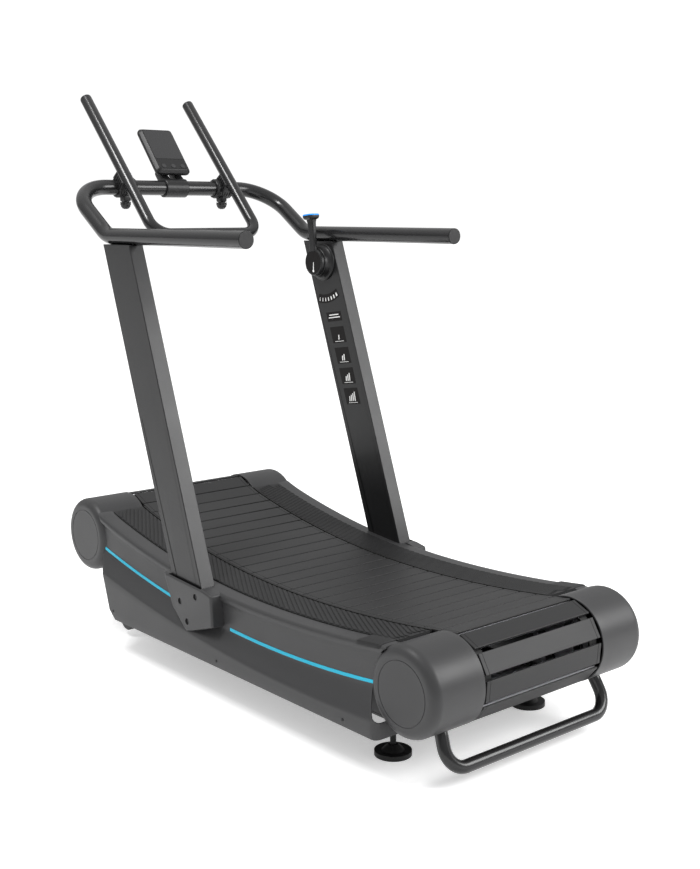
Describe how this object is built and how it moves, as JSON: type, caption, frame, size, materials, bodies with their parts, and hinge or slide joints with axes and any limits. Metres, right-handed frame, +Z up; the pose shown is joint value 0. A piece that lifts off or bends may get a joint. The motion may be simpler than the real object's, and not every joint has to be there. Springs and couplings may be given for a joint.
{
  "type": "curved manual treadmill",
  "caption": "Curved manual treadmill with a slat belt, leaning posts, handrails, push bar, small console and a lever-set magnetic brake.",
  "frame": {"origin": "on the floor, at the middle of the machine's box in plan", "axes": "+X towards the step-on end, +Y to the walker's right, +Z up"},
  "size_m": [1.8856, 0.84, 1.7588],
  "materials": {
    "painted_frame": "satin charcoal powder coat",
    "tube_paint": "glossy metallic dark grey lacquer",
    "cover_plastic": "fine moulded charcoal ABS",
    "pad_rubber": "ribbed moulded rubber",
    "belt_rubber": "moulded slat rubber",
    "black_rubber": "black rubber",
    "black_plastic": "black moulded plastic",
    "bar_aluminium": "extruded aluminium",
    "bright_steel": "ground steel",
    "black_steel": "black oxide",
    "magnet": "nickel plated magnets",
    "teal_trim": "teal insert",
    "blue_cap": "blue soft cap",
    "screen": "black window, switched off",
    "button_rubber": "silicone key",
    "post_paint": "charcoal powder coat"
  },
  "bodies": {
    "frame": {"base_rails": "painted_frame", "bearing_blocks": "bright_steel", "belt_bars": "bar_aluminium", "belt_seals": "black_rubber", "belt_treads": "belt_rubber", "brake_cable": "black_rubber", "carrier_belts": "black_rubber", "console_bracket": "painted_frame", "cover_screws": "black_steel", "cross_members": "painted_frame", "crossbar": "tube_paint", "foot_lock_nuts": "black_steel", "foot_pads": "pad_rubber", "front_cowls": "cover_plastic", "guide_rollers": "bright_steel", "handrail_caps": "black_plastic", "left_frame_plate": "painted_frame", "left_handrail": "tube_paint", "left_post": "post_paint", "left_side_cover": "cover_plastic", "lift_handle": "tube_paint", "post_bolts": "black_steel", "post_boots": "cover_plastic", "post_brackets": "painted_frame", "rear_cowls": "cover_plastic", "resistance_housing": "black_plastic", "right_frame_plate": "painted_frame", "right_handrail": "tube_paint", "right_post": "post_paint", "right_side_cover": "cover_plastic", "roller_bolts": "bright_steel", "tension_screws": "black_steel", "trim_stripes": "teal_trim", "wheel_brackets": "painted_frame", "yoke_pivot": "bright_steel"},
    "front_drum": {"front_axle": "bright_steel", "front_pulleys": "bright_steel", "brake_disc": "bar_aluminium"},
    "rear_drum": {"rear_axle": "bright_steel", "rear_pulleys": "bright_steel"},
    "brake_arm": {"magnet_yoke": "painted_frame", "brake_magnets": "magnet"},
    "lever": {"resistance_lever": "black_plastic", "lever_cap": "blue_cap"},
    "push_bar_frame": {"push_bar": "tube_paint", "push_bar_caps": "black_plastic", "push_bar_clamps": "black_plastic"},
    "left_knob": {"left_clamp_knob": "black_plastic"},
    "right_knob": {"right_clamp_knob": "black_plastic"},
    "console": {"console_housing": "black_plastic", "console_screen": "screen"},
    "start_button": {"start_button": "button_rubber"},
    "mode_button": {"mode_button": "button_rubber"},
    "stop_button": {"stop_button": "button_rubber"},
    "left_transport_wheel": {"left_transport_wheel": "black_plastic"},
    "right_transport_wheel": {"right_transport_wheel": "black_plastic"},
    "front_left_foot": {"front_left_foot": "black_rubber"},
    "front_right_foot": {"front_right_foot": "black_rubber"},
    "rear_left_foot": {"rear_left_foot": "black_rubber"},
    "rear_right_foot": {"rear_right_foot": "black_rubber"}
  },
  "joints": [
    {"name": "front_drum_spin", "type": "hinge", "parent": "frame", "child": "front_drum", "pos_m": [-0.686, 0, 0.342], "axis": [0, 1, 0], "continuous": true},
    {"name": "rear_drum_spin", "type": "hinge", "parent": "frame", "child": "rear_drum", "pos_m": [0.826, 0, 0.248], "axis": [0, 1, 0], "continuous": true},
    {"name": "lever_turn", "type": "hinge", "parent": "frame", "child": "lever", "pos_m": [-0.378, 0.345, 1.213], "axis": [0, -1, 0], "range_deg": [0, 56]},
    {"name": "brake_arm_swing", "type": "hinge", "parent": "frame", "child": "brake_arm", "pos_m": [-0.548, 0.303, 0.26], "axis": [0, -1, 0], "range_deg": [0, 14]},
    {"name": "push_bar_tilt", "type": "hinge", "parent": "frame", "child": "push_bar_frame", "pos_m": [-0.718, 0, 1.455], "axis": [0, 1, 0], "range_deg": [-20, 20]},
    {"name": "left_knob_turn", "type": "hinge", "parent": "push_bar_frame", "child": "left_knob", "pos_m": [-0.714, -0.188, 1.4], "axis": [0, 0, 1], "range_deg": [-90, 180]},
    {"name": "right_knob_turn", "type": "hinge", "parent": "push_bar_frame", "child": "right_knob", "pos_m": [-0.714, 0.188, 1.4], "axis": [0, 0, 1], "range_deg": [-90, 180]},
    {"name": "console_tilt", "type": "hinge", "parent": "frame", "child": "console", "pos_m": [-0.757, 0, 1.512], "axis": [0, 1, 0], "range_deg": [-12, 4]},
    {"name": "start_button_press", "type": "slide", "parent": "console", "child": "start_button", "axis": [-0.7674, 0, -0.6412], "range_m": [0, 0.0013], "stiffness_N_per_m": 400, "springref_m": -0.001},
    {"name": "mode_button_press", "type": "slide", "parent": "console", "child": "mode_button", "axis": [-0.7674, 0, -0.6412], "range_m": [0, 0.0013], "stiffness_N_per_m": 400, "springref_m": -0.001},
    {"name": "stop_button_press", "type": "slide", "parent": "console", "child": "stop_button", "axis": [-0.7674, 0, -0.6412], "range_m": [0, 0.0013], "stiffness_N_per_m": 400, "springref_m": -0.001},
    {"name": "left_wheel_spin", "type": "hinge", "parent": "frame", "child": "left_transport_wheel", "pos_m": [-0.598, -0.287, 0.06], "axis": [0, 1, 0], "continuous": true},
    {"name": "right_wheel_spin", "type": "hinge", "parent": "frame", "child": "right_transport_wheel", "pos_m": [-0.598, 0.287, 0.06], "axis": [0, 1, 0], "continuous": true},
    {"name": "front_left_foot_adjust", "type": "slide", "parent": "frame", "child": "front_left_foot", "axis": [0, 0, -1], "range_m": [0, 0.015]},
    {"name": "front_right_foot_adjust", "type": "slide", "parent": "frame", "child": "front_right_foot", "axis": [0, 0, -1], "range_m": [0, 0.015]},
    {"name": "rear_left_foot_adjust", "type": "slide", "parent": "frame", "child": "rear_left_foot", "axis": [0, 0, -1], "range_m": [0, 0.015]},
    {"name": "rear_right_foot_adjust", "type": "slide", "parent": "frame", "child": "rear_right_foot", "axis": [0, 0, -1], "range_m": [0, 0.015]}
  ],
  "couplings": [
    {"joint": "rear_drum_spin", "follows": "front_drum_spin", "ratio": 1},
    {"joint": "brake_arm_swing", "follows": "lever_turn", "ratio": 0.25}
  ]
}
